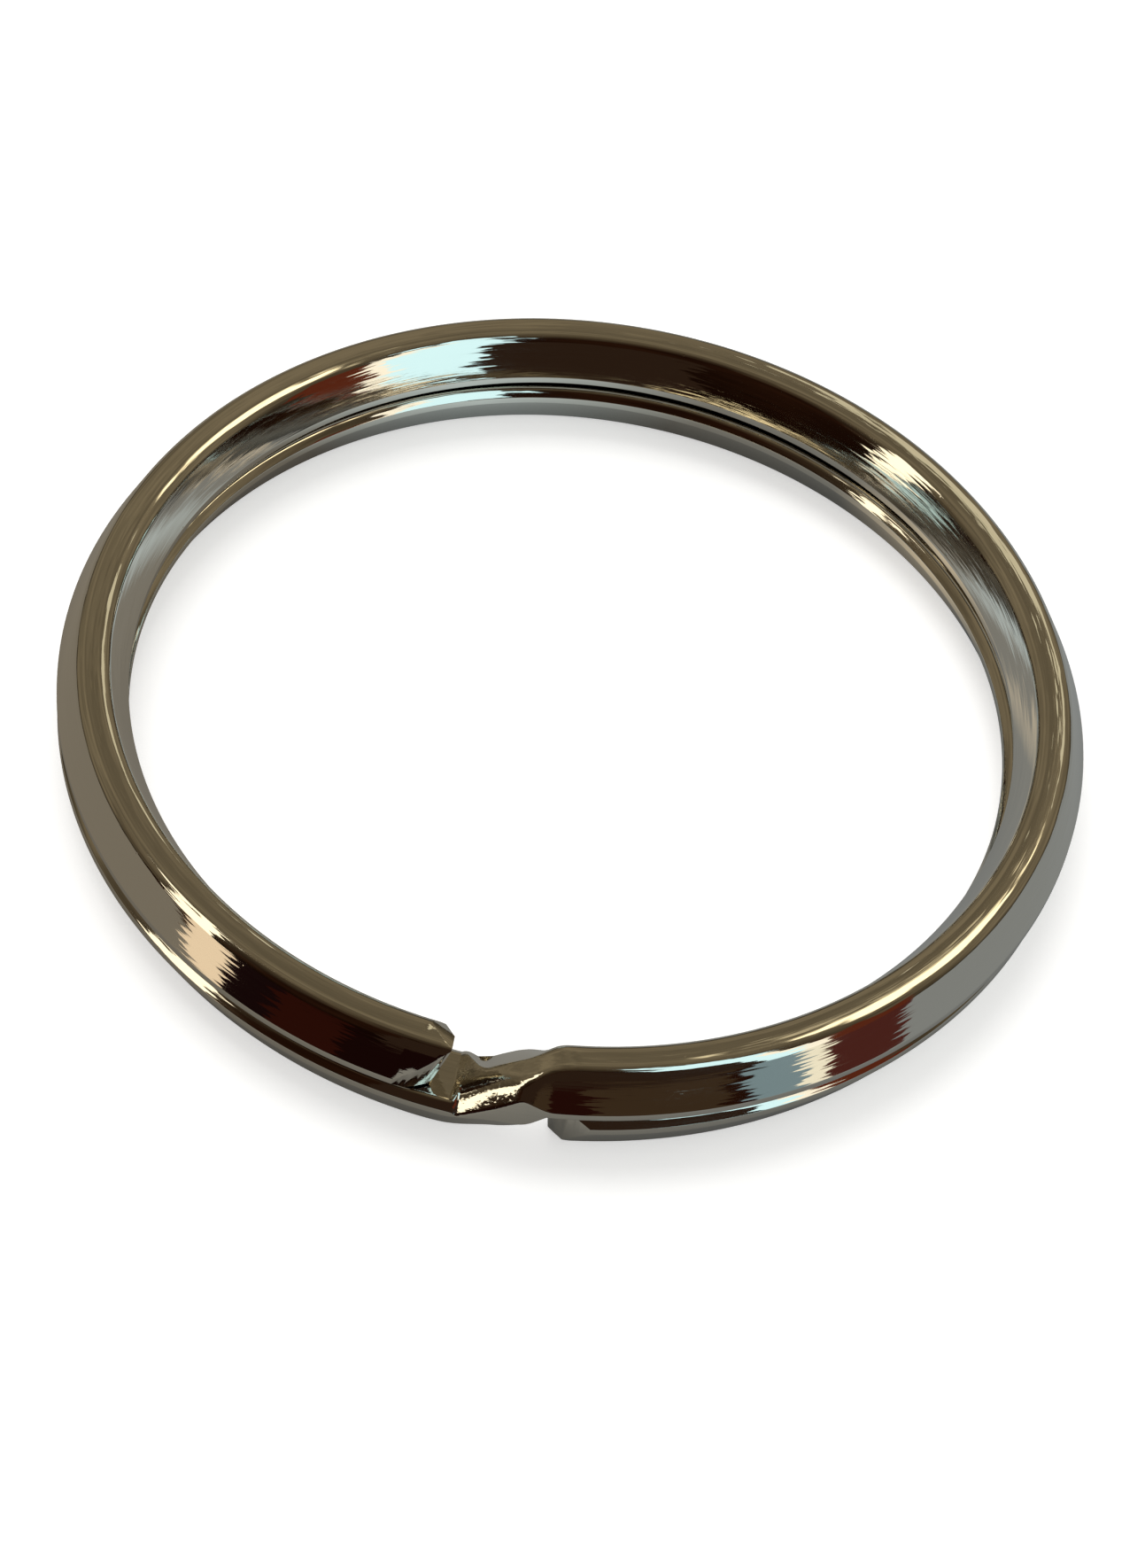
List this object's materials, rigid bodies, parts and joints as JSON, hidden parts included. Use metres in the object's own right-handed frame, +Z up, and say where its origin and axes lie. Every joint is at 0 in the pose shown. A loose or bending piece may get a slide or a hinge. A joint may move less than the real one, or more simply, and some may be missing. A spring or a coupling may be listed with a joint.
{
  "type": "split key ring",
  "caption": "Split key ring of flat-backed steel wire wound in a double turn with a pressed crossover, to hold keys and link them to a fob or strap.",
  "frame": {"origin": "on the axis of the upper turn, in the plane that the ring lies on", "axes": "+Z up through the ring's hole, away from the side it lies on; -Y towards the middle of the crossover; the wire climbs as it runs anticlockwise about +Z"},
  "size_m": [0.035, 0.035, 0.004],
  "materials": {
    "plated_steel": "bright nickel plate with fine lengthwise drawing lines"
  },
  "bodies": {
    "root": {"split_ring": "plated_steel"}
  },
  "joints": []
}
